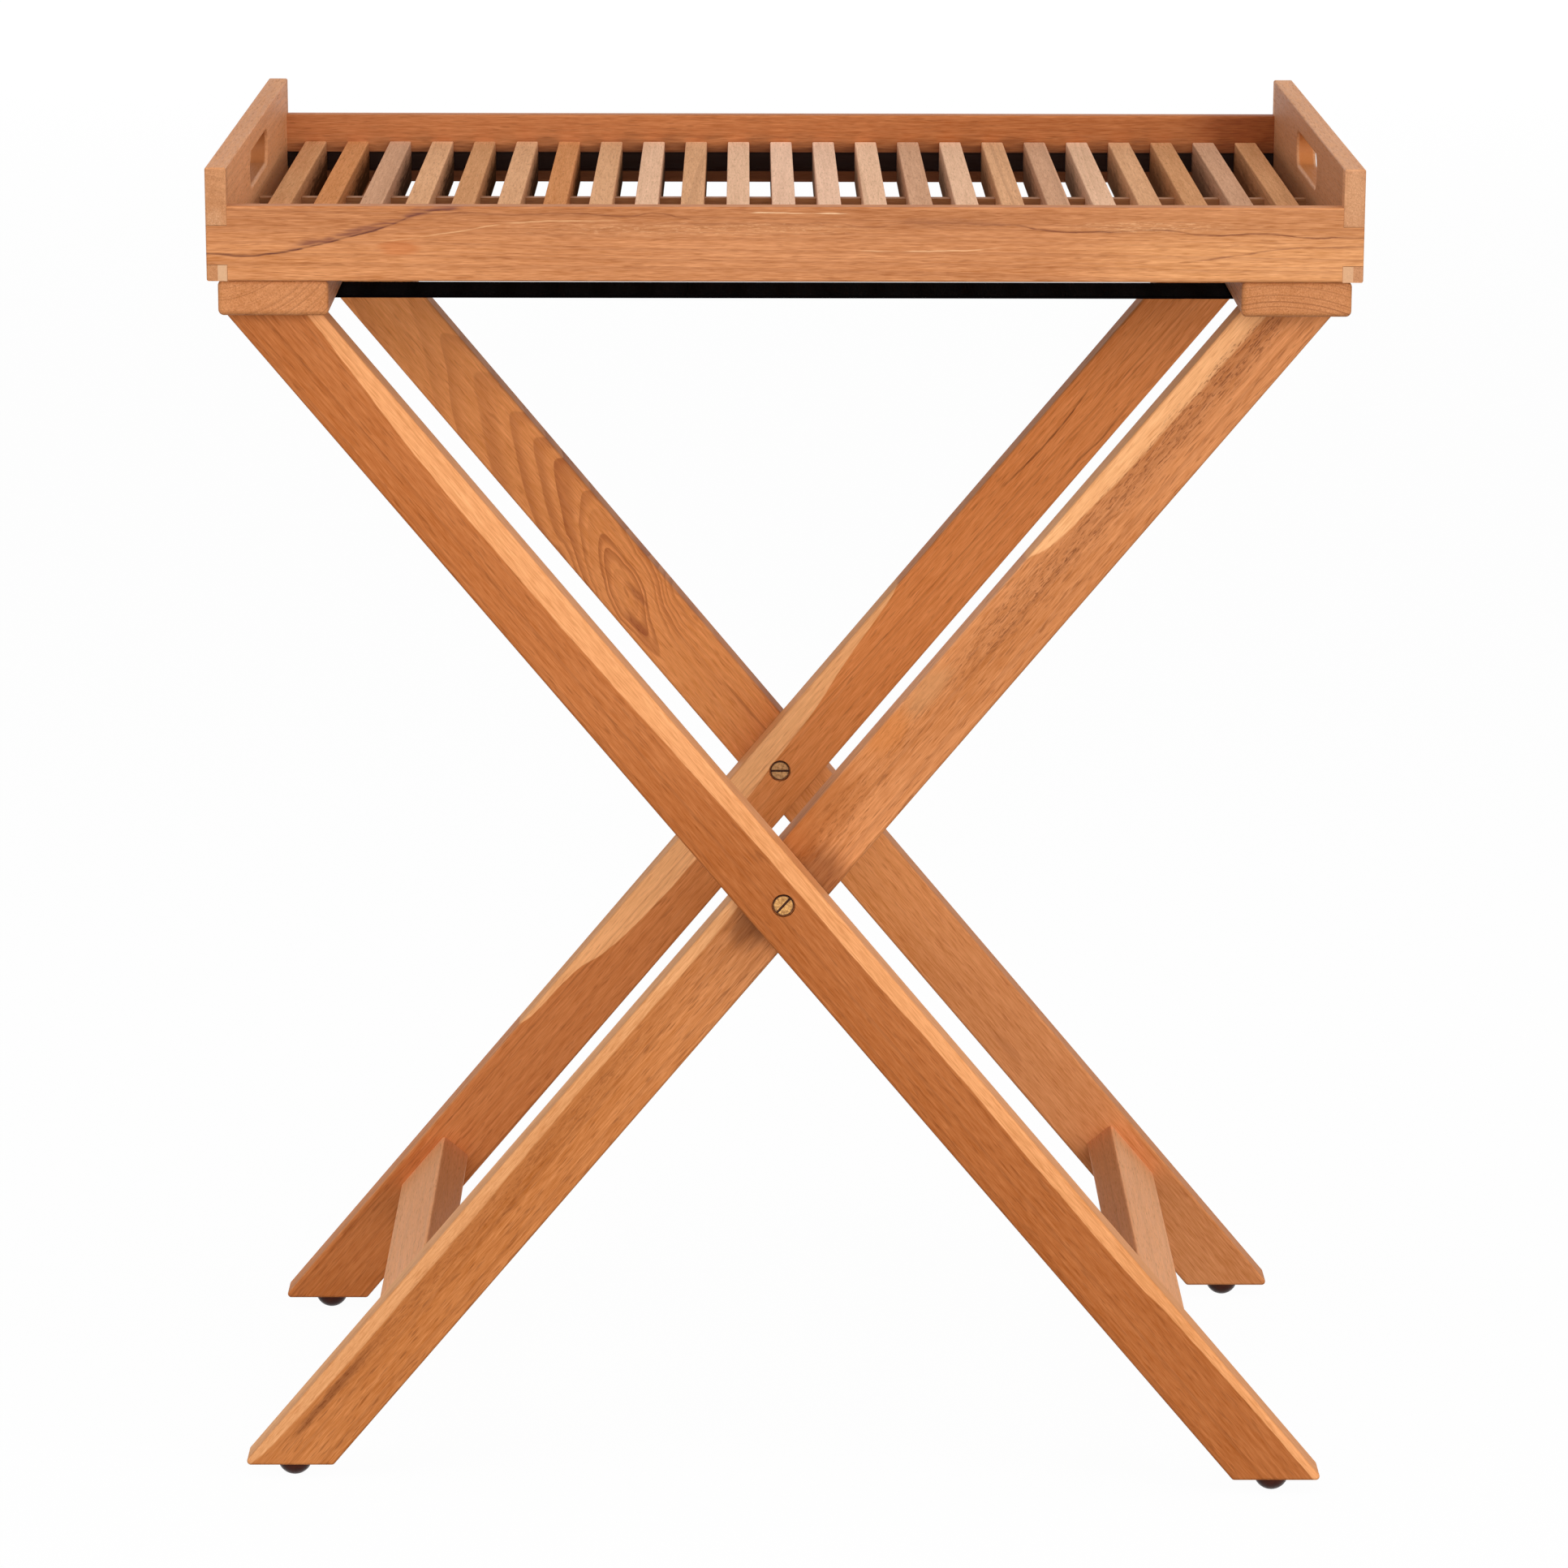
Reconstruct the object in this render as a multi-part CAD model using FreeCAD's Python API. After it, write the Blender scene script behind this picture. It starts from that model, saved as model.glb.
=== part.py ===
# Folding tray table: a slatted lift-off tray on a stand of two crossed frames.
# Millimetres, origin on the floor under the middle, X along the tray, front towards -Y, Z up.
import FreeCAD
import Part
import math
import os

# Tray box
tray_length = 600.0
tray_depth = 400.0
panel_height = 59.0
panel_thickness = 11.0
tray_rail_height = 39.0
tray_rail_thickness = 11.0
tray_edge_radius = 1.2
finger_bottom = 8.6
finger_top = 28.9
finger_clearance = 0.2
seam_radius = 0.4

# Hand slots in the end panels
slot_length = 112.0
slot_height = 18.0
slot_bottom = 29.0
slot_edge_radius = 2.0

# Slats, their grooves in the tray rails and the batten under them
slat_count = 23
slat_width = 12.5
slat_end_gap = 10.5
slat_height = 23.4
slat_edge_radius = 0.8
groove_bottom = 6.5
groove_top = 17.2
groove_depth = 5.5
batten_width = 7.0
batten_height = 16.7
batten_housing = 5.0

# Stand top rails, which the tray rests on
stand_height = 678.0
top_rail_width = 57.4
top_rail_thickness = 18.5
top_rail_inset = 5.3
top_rail_end_inset = 2.0
top_rail_edge_radius = 3.0

# Legs: the outer pair carries the left top rail, the inner pair the right one
leg_width = 38.7
leg_thickness = 22.0
leg_inset = 24.0
leg_gap = 1.5
leg_top_offset = 3.5
leg_foot_inset = 25.8
leg_edge_radius = 1.8
leg_tip_radius = 2.1
leg_tenon_width = 30.0
leg_tenon_thickness = 9.0
leg_tenon_length = 11.0

# Stretchers between the lower legs
stretcher_width = 41.5
stretcher_thickness = 19.5
stretcher_reach = 323.2
stretcher_edge_radius = 2.0
stretcher_tenon_width = 24.0
stretcher_tenon_thickness = 10.0
stretcher_tenon_length = 11.0

# Glides under the legs
foot_offset = 3.2
foot_radius = 9.6
foot_flat_radius = 2.6
foot_height = 8.0
foot_pin_radius = 1.8
foot_pin_length = 12.0

# Pivot hardware: a slotted bolt through each outer leg into a slotted sleeve nut
head_radius = 5.6
head_thickness = 2.2
counterbore_radius = 6.4
counterbore_depth = 2.4
head_slot_width = 1.3
head_slot_depth = 1.0
bolt_radius = 2.5
bolt_thread_reach = 16.0
sleeve_radius = 4.0
sleeve_bore_depth = 18.0
washer_radius = 10.0
running_clearance = 0.05
bolt_slot_turn = 48.0
nut_slot_turn = 0.0

# Webbing straps under the top rails and the screws that hold them
strap_width = 48.0
strap_thickness = 1.6
strap_inset = 74.0
strap_end_margin = 10.0
strap_hole_clearance = 0.3
screw_spacing = 26.0
screw_washer_radius = 5.5
screw_washer_thickness = 0.8
screw_head_radius = 3.6
screw_head_thickness = 2.0
screw_head_bevel = 0.9
screw_shank_radius = 1.8
screw_grip = 12.0

# Room left at the blind end of every tenon, and how far a cut runs past a face
tenon_end_gap = 0.5
cut_overrun = 5.0
coincidence_share = 1e-6

# Levels and lines worked out from the sizes above
tray_half = tray_length / 2
depth_half = tray_depth / 2
outer_slat_reach = tray_half - panel_thickness - slat_end_gap - slat_width / 2
slat_pitch = 2 * outer_slat_reach / (slat_count - 1)
top_rail_centre = tray_half - top_rail_inset - top_rail_width / 2
leg_top_centre = top_rail_centre + leg_top_offset
leg_foot_centre = tray_half - leg_foot_inset
foot_centre = leg_foot_centre - foot_offset
leg_top_level = stand_height - top_rail_thickness
leg_run = leg_top_centre + leg_foot_centre
leg_rise = leg_top_level - foot_height
leg_angle = math.atan2(leg_rise, leg_run)
pivot_level = leg_top_level - leg_rise * leg_top_centre / leg_run
outer_leg_face = depth_half - leg_inset
outer_leg_back = outer_leg_face - leg_thickness
inner_leg_face = outer_leg_back - leg_gap
inner_leg_back = inner_leg_face - leg_thickness
coincidence = coincidence_share * tray_length

up = FreeCAD.Vector(0, 0, 1)
depthwise = FreeCAD.Vector(0, 1, 0)
origin = FreeCAD.Vector(0, 0, 0)


def block(x_low, x_high, y_low, y_high, z_low, z_high):
    corner = FreeCAD.Vector(min(x_low, x_high), min(y_low, y_high), min(z_low, z_high))
    return Part.makeBox(abs(x_high - x_low), abs(y_high - y_low), abs(z_high - z_low), corner)


def rod(radius, start, direction, length):
    return Part.makeCylinder(radius, length, start, direction)


def on_plane(edge, axis, value):
    return all(abs(getattr(vertex.Point, axis) - value) < coincidence for vertex in edge.Vertexes)


def runs_along(edge, axis):
    start, end = edge.firstVertex().Point, edge.lastVertex().Point
    others = [name for name in "xyz" if name != axis]
    return all(abs(getattr(start, name) - getattr(end, name)) < coincidence for name in others)


def rounded(shape, radius, chosen):
    return shape.makeFillet(radius, [edge for edge in shape.Edges if chosen(edge)])


def mirrored_back(shape):
    return shape.mirror(origin, depthwise)


def prism(points, y_low, y_high):
    # A flat outline in X and Z, drawn out along Y.
    loop = [FreeCAD.Vector(x, y_low, z) for x, z in points + points[:1]]
    return Part.Face(Part.makePolygon(loop)).extrude(FreeCAD.Vector(0, y_high - y_low, 0))


# Tray

def tray_rail():
    # The front rail: its middle third runs through to the tray's ends as a finger.
    outer, inner = -depth_half, -depth_half + tray_rail_thickness
    between = tray_half - panel_thickness
    rail = block(-between, between, outer, inner, stand_height, stand_height + tray_rail_height)
    finger = block(-tray_half, tray_half, outer, inner, stand_height + finger_bottom, stand_height + finger_top)
    rail = rail.fuse(finger).removeSplitter()
    rail_top = stand_height + tray_rail_height

    def on_long_rim(edge):
        low = on_plane(edge, "z", stand_height) and on_plane(edge, "y", outer)
        return runs_along(edge, "x") and (low or on_plane(edge, "z", rail_top))

    rail = rounded(rail, tray_edge_radius, on_long_rim)
    ends = (-tray_half, tray_half)
    rail = rounded(rail, tray_edge_radius,
                   lambda e: on_plane(e, "y", outer) and any(on_plane(e, "x", end) for end in ends))
    groove = block(-between, between, inner - groove_depth, inner + cut_overrun,
                   stand_height + groove_bottom, stand_height + groove_top)
    return rail.cut(groove)


def hand_slot(x_low, x_high):
    straight = (slot_length - slot_height) / 2
    low, high = stand_height + slot_bottom, stand_height + slot_bottom + slot_height
    slot = block(x_low, x_high, -straight, straight, low, high)
    for y in (-straight, straight):
        start = FreeCAD.Vector(x_low, y, (low + high) / 2)
        slot = slot.fuse(rod(slot_height / 2, start, FreeCAD.Vector(1, 0, 0), x_high - x_low))
    return slot.removeSplitter()


def end_panel(side):
    # The left panel has side -1 and the right one +1.
    outer, inner = side * tray_half, side * (tray_half - panel_thickness)
    top = stand_height + panel_height
    panel = block(outer, inner, -depth_half, depth_half, stand_height, top)
    panel = rounded(panel, tray_edge_radius, lambda e: on_plane(e, "z", top) or on_plane(e, "x", outer))
    panel = rounded(panel, seam_radius, lambda e: on_plane(e, "x", inner) and runs_along(e, "z"))
    past_outer, past_inner = outer + side * cut_overrun, inner - side * cut_overrun
    for end in (-depth_half, depth_half):
        toward_middle = -math.copysign(tray_rail_thickness, end)
        notch = block(past_outer, past_inner, end + math.copysign(cut_overrun, end), end + toward_middle,
                      stand_height + finger_bottom - finger_clearance, stand_height + finger_top + finger_clearance)
        panel = panel.cut(notch)
    housing = block(inner + side * batten_housing, past_inner, -batten_width / 2, batten_width / 2,
                    stand_height - cut_overrun, stand_height + batten_height)
    panel = panel.cut(housing)
    panel = panel.cut(hand_slot(min(past_outer, past_inner), max(past_outer, past_inner)))
    slot_low, slot_high = stand_height + slot_bottom, stand_height + slot_bottom + slot_height

    def on_slot_rim(edge):
        if not (on_plane(edge, "x", outer) or on_plane(edge, "x", inner)):
            return False
        reach = [abs(vertex.Point.y) <= slot_length / 2 and
                 slot_low - coincidence <= vertex.Point.z <= slot_high + coincidence for vertex in edge.Vertexes]
        return all(reach)

    return rounded(panel, slot_edge_radius, on_slot_rim)


def slat(number):
    middle = (number - (slat_count - 1) / 2) * slat_pitch
    low, high = middle - slat_width / 2, middle + slat_width / 2
    reach = depth_half - tray_rail_thickness
    tongue_reach = reach + groove_depth - tenon_end_gap
    top = stand_height + slat_height
    bar = block(low, high, -reach, reach, stand_height, top)
    bar = rounded(bar, slat_edge_radius, lambda e: on_plane(e, "z", top) and runs_along(e, "y"))
    tongue = block(low, high, -tongue_reach, tongue_reach, stand_height + groove_bottom, stand_height + groove_top)
    notch = block(low - cut_overrun, high + cut_overrun, -batten_width / 2, batten_width / 2,
                  stand_height - cut_overrun, stand_height + batten_height)
    return bar.fuse(tongue).removeSplitter().cut(notch)


def batten():
    reach = tray_half - panel_thickness + batten_housing - tenon_end_gap
    return block(-reach, reach, -batten_width / 2, batten_width / 2, stand_height, stand_height + batten_height)


# Stand frames; side +1 is the outer frame, whose legs fall to the right, and -1 the inner one

def leg_tenon(side, middle, length):
    x = -side * leg_top_centre
    return block(x - leg_tenon_width / 2, x + leg_tenon_width / 2,
                 middle - leg_tenon_thickness / 2, middle + leg_tenon_thickness / 2,
                 leg_top_level, leg_top_level + length)


def bar_outline(side, width, thickness):
    # A rectangle turned to lie along the leg, centred on the leg at the stretcher.
    along = (side * math.cos(leg_angle), -math.sin(leg_angle))
    across = (side * math.sin(leg_angle), math.cos(leg_angle))
    centre = (along[0] * stretcher_reach, pivot_level + along[1] * stretcher_reach)
    signs = ((-1, -1), (1, -1), (1, 1), (-1, 1))
    return [(centre[0] + a * along[0] * width / 2 + b * across[0] * thickness / 2,
             centre[1] + a * along[1] * width / 2 + b * across[1] * thickness / 2) for a, b in signs]


def leg(side, face, back):
    # The front leg of a frame, from its outer face to its inner one.
    half_cut = leg_width / 2 / math.sin(leg_angle)
    outline = [(-leg_top_centre - half_cut, leg_top_level), (-leg_top_centre + half_cut, leg_top_level),
               (leg_foot_centre + half_cut, foot_height), (leg_foot_centre - half_cut, foot_height)]
    solid = prism([(side * x, z) for x, z in outline], -face, -back)
    solid = rounded(solid, leg_tip_radius, lambda e: on_plane(e, "z", foot_height) and runs_along(e, "y"))

    def on_rim(edge):
        return ((on_plane(edge, "y", -face) or on_plane(edge, "y", -back))
                and not on_plane(edge, "z", leg_top_level))

    solid = rounded(solid, leg_edge_radius, on_rim)
    solid = solid.fuse(leg_tenon(side, -(face + back) / 2, leg_tenon_length))
    pin_hole = rod(foot_pin_radius, foot_place(side, -(face + back) / 2, foot_height), up,
                   foot_pin_length + tenon_end_gap)
    mortise = prism(bar_outline(side, stretcher_tenon_width, stretcher_tenon_thickness),
                    -back - stretcher_tenon_length - tenon_end_gap, -back + cut_overrun)
    return solid.cut(pin_hole).cut(mortise)


def pivot_point(y):
    return FreeCAD.Vector(0, y, pivot_level)


def outer_leg():
    solid = leg(1, outer_leg_face, outer_leg_back)
    bore = rod(bolt_radius, pivot_point(-outer_leg_face), depthwise, leg_thickness)
    recess = rod(counterbore_radius, pivot_point(-outer_leg_face), depthwise, counterbore_depth)
    return solid.cut(bore).cut(recess)


def inner_leg():
    solid = leg(-1, inner_leg_face, inner_leg_back)
    bore = rod(sleeve_radius + running_clearance, pivot_point(-inner_leg_face), depthwise, leg_thickness)
    recess = rod(counterbore_radius, pivot_point(-inner_leg_back), -depthwise, counterbore_depth)
    return solid.cut(bore).cut(recess)


def stretcher(side, back):
    bar = prism(bar_outline(side, stretcher_width, stretcher_thickness), -back, back)
    bar = rounded(bar, stretcher_edge_radius, lambda e: runs_along(e, "y"))
    reach = back + stretcher_tenon_length
    tenon = prism(bar_outline(side, stretcher_tenon_width, stretcher_tenon_thickness), -reach, reach)
    return bar.fuse(tenon)


def top_rail(side, face, back):
    middle = -side * top_rail_centre
    reach = depth_half - top_rail_end_inset
    rail = block(middle - top_rail_width / 2, middle + top_rail_width / 2, -reach, reach,
                 leg_top_level, stand_height)
    rail = rail.makeFillet(top_rail_edge_radius, rail.Edges)
    for end in (-1, 1):
        rail = rail.cut(leg_tenon(side, end * (face + back) / 2, leg_tenon_length + tenon_end_gap))
        for place in screw_places(side, end):
            rail = rail.cut(rod(screw_shank_radius, place, up, screw_grip + tenon_end_gap))
    return rail


def foot_place(side, y, z):
    return FreeCAD.Vector(side * foot_centre, y, z)


def foot(side, y):
    # A domed glide, flattened where it stands, on a pin pressed up into the leg.
    ball_level = (foot_radius ** 2 + foot_height ** 2 - foot_flat_radius ** 2) / (2 * foot_height)
    ball_radius = math.hypot(ball_level, foot_flat_radius)
    low = math.degrees(math.asin(-ball_level / ball_radius))
    high = math.degrees(math.asin((foot_height - ball_level) / ball_radius))
    dome = Part.makeSphere(ball_radius, foot_place(side, y, ball_level), up, low, high, 360)
    return dome.fuse(rod(foot_pin_radius, foot_place(side, y, foot_height), up, foot_pin_length))


# Pivots

def slotted(head, y, outward, turn):
    # Cut a screwdriver slot across a head whose outer face is at y.
    reach = head_radius + cut_overrun
    slot = block(-reach, reach, y - outward * head_slot_depth, y + outward * cut_overrun,
                 pivot_level - head_slot_width / 2, pivot_level + head_slot_width / 2)
    slot.rotate(pivot_point(y), -depthwise, turn)
    return head.cut(slot)


def pivot_bolt():
    seat = -outer_leg_face + counterbore_depth
    head = rod(head_radius, pivot_point(seat), -depthwise, head_thickness)
    head = slotted(head, seat - head_thickness, -1, bolt_slot_turn)
    shank_end = -outer_leg_back + bolt_thread_reach
    return head.fuse(rod(bolt_radius, pivot_point(seat), depthwise, shank_end - seat))


def pivot_nut():
    seat = -inner_leg_back - counterbore_depth
    head = rod(head_radius, pivot_point(seat), depthwise, head_thickness)
    head = slotted(head, seat + head_thickness, 1, nut_slot_turn)
    sleeve_end = -outer_leg_back
    sleeve = rod(sleeve_radius, pivot_point(sleeve_end), depthwise, seat - sleeve_end)
    return head.fuse(sleeve).cut(rod(bolt_radius, pivot_point(sleeve_end), depthwise, sleeve_bore_depth))


def pivot_washer():
    disc = rod(washer_radius, pivot_point(-outer_leg_back), depthwise, leg_gap)
    return disc.cut(rod(sleeve_radius, pivot_point(-outer_leg_back), depthwise, leg_gap))


# Straps

def strap_middle(end):
    return end * (depth_half - strap_inset - strap_width / 2)


def screw_places(side, end):
    # Two screws through each end of a strap, on the middle line of the top rail.
    x = -side * top_rail_centre
    middle = strap_middle(end)
    return [FreeCAD.Vector(x, middle + half * screw_spacing / 2, leg_top_level) for half in (-1, 1)]


def strap(end):
    reach = top_rail_centre + top_rail_width / 2 - strap_end_margin
    middle = strap_middle(end)
    band = block(-reach, reach, middle - strap_width / 2, middle + strap_width / 2,
                 leg_top_level - strap_thickness, leg_top_level)
    for side in (-1, 1):
        for place in screw_places(side, end):
            band = band.cut(rod(screw_shank_radius + strap_hole_clearance, place, -up, strap_thickness))
    return band


def strap_screws(side, end):
    screws = []
    for place in screw_places(side, end):
        washer_top = place - up * strap_thickness
        washer = rod(screw_washer_radius, washer_top, -up, screw_washer_thickness)
        head_top = washer_top - up * screw_washer_thickness
        head = rod(screw_head_radius, head_top, -up, screw_head_thickness)
        head_low = head_top.z - screw_head_thickness
        low_rim = [edge for edge in head.Edges if on_plane(edge, "z", head_low)]
        head = head.makeChamfer(screw_head_bevel, low_rim)
        shank = rod(screw_shank_radius, washer_top, up, strap_thickness + screw_grip)
        screws.append(washer.fuse(head).fuse(shank))
    return Part.makeCompound(screws)


nodes = {
    "tray_front_rail": tray_rail(),
    "tray_back_rail": mirrored_back(tray_rail()),
    "tray_left_panel": end_panel(-1),
    "tray_right_panel": end_panel(1),
    "tray_batten": batten(),
    "outer_top_rail": top_rail(1, outer_leg_face, outer_leg_back),
    "outer_leg_front": outer_leg(),
    "outer_leg_back": mirrored_back(outer_leg()),
    "outer_stretcher": stretcher(1, outer_leg_back),
    "outer_foot_front": foot(1, -(outer_leg_face + outer_leg_back) / 2),
    "outer_foot_back": foot(1, (outer_leg_face + outer_leg_back) / 2),
    "pivot_bolt_front": pivot_bolt(),
    "pivot_bolt_back": mirrored_back(pivot_bolt()),
    "pivot_nut_front": pivot_nut(),
    "pivot_nut_back": mirrored_back(pivot_nut()),
    "pivot_washer_front": pivot_washer(),
    "pivot_washer_back": mirrored_back(pivot_washer()),
    "inner_top_rail": top_rail(-1, inner_leg_face, inner_leg_back),
    "inner_leg_front": inner_leg(),
    "inner_leg_back": mirrored_back(inner_leg()),
    "inner_stretcher": stretcher(-1, inner_leg_back),
    "inner_foot_front": foot(-1, -(inner_leg_face + inner_leg_back) / 2),
    "inner_foot_back": foot(-1, (inner_leg_face + inner_leg_back) / 2),
    "strap_front": strap(-1),
    "strap_back": strap(1),
    "outer_strap_screws_front": strap_screws(1, -1),
    "outer_strap_screws_back": strap_screws(1, 1),
    "inner_strap_screws_front": strap_screws(-1, -1),
    "inner_strap_screws_back": strap_screws(-1, 1),
}
for number in range(slat_count):
    nodes["slat_%02d" % (number + 1)] = slat(number)

os.makedirs("parts", exist_ok=True)
for name, shape in nodes.items():
    shape.exportStep("parts/%s.step" % name)
print("wrote", len(nodes), "nodes, pivot at", round(pivot_level, 3))
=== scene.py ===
import bpy
import math
import random
from mathutils import Euler, Matrix, Vector


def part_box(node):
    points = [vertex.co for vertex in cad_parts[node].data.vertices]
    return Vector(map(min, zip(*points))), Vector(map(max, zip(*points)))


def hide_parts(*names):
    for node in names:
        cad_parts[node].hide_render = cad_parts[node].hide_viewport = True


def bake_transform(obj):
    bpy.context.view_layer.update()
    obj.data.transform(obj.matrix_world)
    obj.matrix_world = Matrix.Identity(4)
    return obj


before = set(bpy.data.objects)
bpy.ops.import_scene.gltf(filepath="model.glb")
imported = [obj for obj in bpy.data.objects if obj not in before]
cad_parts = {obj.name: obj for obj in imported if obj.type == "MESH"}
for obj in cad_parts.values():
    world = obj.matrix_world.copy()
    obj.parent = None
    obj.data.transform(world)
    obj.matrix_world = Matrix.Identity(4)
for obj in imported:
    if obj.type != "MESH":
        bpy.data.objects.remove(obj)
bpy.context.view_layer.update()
print("frame loaded with", len(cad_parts), "pieces")

# short helpers for building node trees

def paint(red, green, blue):  # screen colour 0 to 255 to the linear value that a socket takes
    values = [channel / 255 for channel in (red, green, blue)]
    return [v / 12.92 if v <= 0.04045 else ((v + 0.055) / 1.055) ** 2.4 for v in values] + [1.0]


def place(tree, kind, feeds=None, **settings):
    node = tree.nodes.new(kind)
    for name, value in settings.items():
        setattr(node, name, value)
    for name, value in (feeds or {}).items():
        if isinstance(value, bpy.types.NodeSocket):
            tree.links.new(value, node.inputs[name])
        else:
            node.inputs[name].default_value = value
    return node


def sums(tree, operation, first, second=0.0, third=0.0, clamp=False):
    return place(tree, "ShaderNodeMath", {0: first, 1: second, 2: third},
                 operation=operation, use_clamp=clamp).outputs[0]


def vectors(tree, operation, first, second=(0, 0, 0)):
    node = place(tree, "ShaderNodeVectorMath", {0: first, 1: second}, operation=operation)
    return node.outputs["Value" if operation == "LENGTH" else "Vector"]


def axes(tree, vector):
    return place(tree, "ShaderNodeSeparateXYZ", {0: vector}).outputs


def streaks(tree, vector, stretch, detail=2.0, rough=0.5, output="Fac"):
    spread = vectors(tree, "MULTIPLY", vector, stretch)
    return place(tree, "ShaderNodeTexNoise", {"Vector": spread, "Scale": 1.0, "Detail": detail,
                                              "Roughness": rough}).outputs[output]


def rise(tree, value, low, high, start=0.0, end=1.0, kind="SMOOTHSTEP"):
    return place(tree, "ShaderNodeMapRange", {"Value": value, "From Min": low, "From Max": high,
                                              "To Min": start, "To Max": end},
                 interpolation_type=kind).outputs[0]


def tint(tree, amount, first, second, mode="MIX"):
    return place(tree, "ShaderNodeMix", {0: amount, 6: first, 7: second},
                 data_type="RGBA", blend_type=mode).outputs[2]


def follow(tree, value, points):  # a drawn curve through (place, height) points
    places = [point[0] for point in points]
    heights = [point[1] for point in points]
    low, high = min(heights), max(heights) + 1e-6
    along = rise(tree, value, places[0], places[-1], kind="LINEAR")
    node = place(tree, "ShaderNodeFloatCurve", {"Value": along})
    curve = node.mapping.curves[0]
    for number, (at, height) in enumerate(points):
        spot = ((at - places[0]) / (places[-1] - places[0]), (height - low) / (high - low))
        if number == 0:
            curve.points[0].location = spot
        elif number == len(points) - 1:
            curve.points[-1].location = spot
        else:
            curve.points.new(*spot)
    node.mapping.update()
    return rise(tree, node.outputs[0], 0.0, 1.0, low, high, "LINEAR")


def radians(angles):
    return [math.radians(angle) for angle in angles]


def startMaterial(name):
    material = bpy.data.materials.new(name)
    material.use_nodes = True
    tree = material.node_tree
    return material, tree, tree.nodes["Principled BSDF"]


def ownAxes(tree, centre, turn):  # object coordinates around a piece's middle, turned to run along it
    coords = place(tree, "ShaderNodeTexCoord").outputs["Object"]
    return place(tree, "ShaderNodeMapping", {"Vector": coords, "Location": centre, "Rotation": turn},
                 vector_type="TEXTURE").outputs[0]


def relief(tree, shader, height, strength, depth):
    bump = place(tree, "ShaderNodeBump", {"Strength": strength, "Distance": depth, "Height": height})
    tree.links.new(bump.outputs[0], shader.inputs["Normal"])


def coat(node, material):  # a finish goes on every slot of its piece
    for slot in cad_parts[node].material_slots:
        slot.material = material


def startGroup(name, takes, gives):
    group = bpy.data.node_groups.new(name, "ShaderNodeTree")
    for label, kind, value in takes:
        socket = group.interface.new_socket(label, in_out="INPUT", socket_type="NodeSocket" + kind)
        socket.default_value = value
    for label, kind in gives:
        group.interface.new_socket(label, in_out="OUTPUT", socket_type="NodeSocket" + kind)
    return group, group.nodes.new("NodeGroupInput").outputs, group.nodes.new("NodeGroupOutput").inputs


# solid oiled teak: growth rings, streaks, fibres, pores and slow clouds, grain along the first axis
teakGrain, takes, gives = startGroup("teakGrain", (
    ("Grain", "Vector", (0, 0, 0)), ("Ring", "Vector", (0, 0, 0)),
    ("Ground", "Color", paint(171, 95, 46)), ("Pale", "Color", paint(219, 143, 94)),
    ("Line", "Color", paint(112, 58, 34)), ("Ring Gap", "Float", 0.005), ("Ring Wave", "Float", 0.003),
    ("Ring Depth", "Float", 0.4), ("Ring Start", "Float", 0.3), ("Fibre Depth", "Float", 1.0),
    ("Pore Depth", "Float", 0.3), ("Cloud Depth", "Float", 0.8)),
    (("Color", "Color"), ("Roughness", "Float"), ("Height", "Float")))
# the figure's rates in a metre, along the grain and across it, and then its limits
figure = {"sway": (5, 34, 34), "clouds": (4, 26, 26), "bands": (10, 320, 320), "fibres": (46, 900, 900),
          "hairs": (130, 2000, 2000), "pores": (95, 1050, 1050), "bend": (2.6, 30, 30),
          "swayReach": (0, 0.003, 0.003), "poreLimits": (0.58, 0.72), "darkest": 0.93,
          "yearRate": 0.55, "yearDrift": 1.6, "rough": (0.46, 0.60), "poreRough": 0.12}
tree = teakGrain
sway = streaks(tree, takes["Grain"], figure["sway"], 1.0, 0.5, "Color")
sway = vectors(tree, "SUBTRACT", sway, (0.5, 0.5, 0.5))
grain = vectors(tree, "ADD", takes["Grain"], vectors(tree, "MULTIPLY", sway, figure["swayReach"]))
clouds = streaks(tree, grain, figure["clouds"], 2.0, 0.55)
bands = streaks(tree, grain, figure["bands"], 2.0, 0.55)
fibres = streaks(tree, grain, figure["fibres"], 2.0, 0.6)
hairs = streaks(tree, grain, figure["hairs"], 1.0, 0.6)
pores = rise(tree, streaks(tree, grain, figure["pores"], 1.0), *figure["poreLimits"])
bend = sums(tree, "SUBTRACT", streaks(tree, takes["Grain"], figure["bend"], 1.0), 0.5)
radius = sums(tree, "MULTIPLY_ADD", bend, takes["Ring Wave"], vectors(tree, "LENGTH", takes["Ring"]))
years = sums(tree, "DIVIDE", radius, takes["Ring Gap"])
uneven = place(tree, "ShaderNodeTexNoise", {"W": years, "Scale": figure["yearRate"], "Detail": 1.0},
               noise_dimensions="1D")
years = sums(tree, "MULTIPLY_ADD", uneven.outputs["Fac"], figure["yearDrift"], years)
season = sums(tree, "FRACT", years)
late = sums(tree, "MULTIPLY", rise(tree, season, takes["Ring Start"], figure["darkest"]),
            rise(tree, season, figure["darkest"], 1.0, 1.0, 0.0))
yearTone = place(tree, "ShaderNodeTexWhiteNoise", {"W": sums(tree, "FLOOR", years)}, noise_dimensions="1D")
late = sums(tree, "MULTIPLY", late, rise(tree, yearTone.outputs["Value"], 0.0, 1.0, 0.2, 1.0))
late = sums(tree, "MULTIPLY", late, rise(tree, fibres, 0.28, 0.6, 0.5, 1.0))
lightness = 0.5
layers = ((clouds, "Cloud Depth", 1.0), (bands, "Fibre Depth", 0.5), (fibres, "Fibre Depth", 1.1),
          (hairs, "Fibre Depth", 1.1))
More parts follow.
